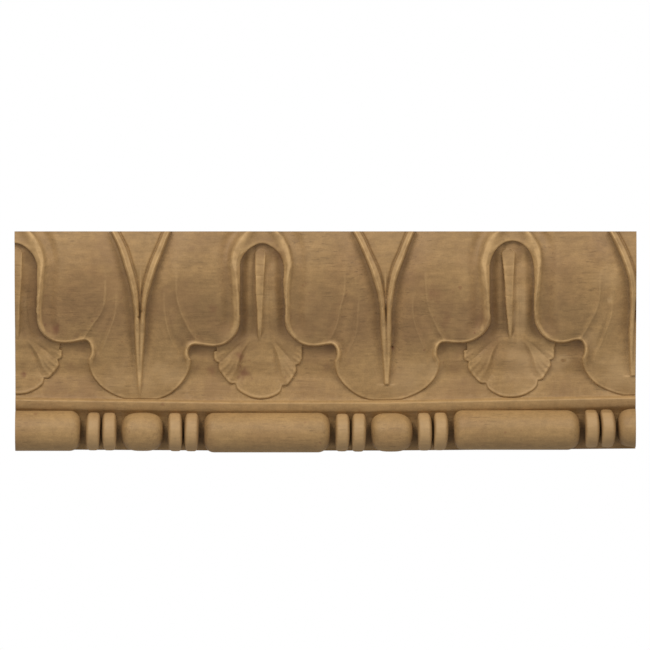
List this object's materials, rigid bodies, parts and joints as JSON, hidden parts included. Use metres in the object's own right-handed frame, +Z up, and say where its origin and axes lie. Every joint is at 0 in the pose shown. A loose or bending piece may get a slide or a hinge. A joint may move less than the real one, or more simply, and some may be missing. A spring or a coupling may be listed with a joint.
{
  "type": "resin moulding",
  "caption": "Straight length of cast resin moulding with lamb's-tongue leaves over a fillet and a bead, reel and barrel course, flat at the back.",
  "frame": {"origin": "centre of the flat back, halfway along the length and halfway between the top edge and the lowest point of the beads", "axes": "+X along the moulding, to the right seen from the front; -Y out of the carved front; +Z up, towards the straight top edge"},
  "size_m": [0.246, 0.0285, 0.088],
  "materials": {
    "resin": "unpainted tan-brown casting resin, satin matt, with faint tool streaks and small darker specks"
  },
  "bodies": {
    "root": {"moulding": "resin"}
  },
  "joints": []
}
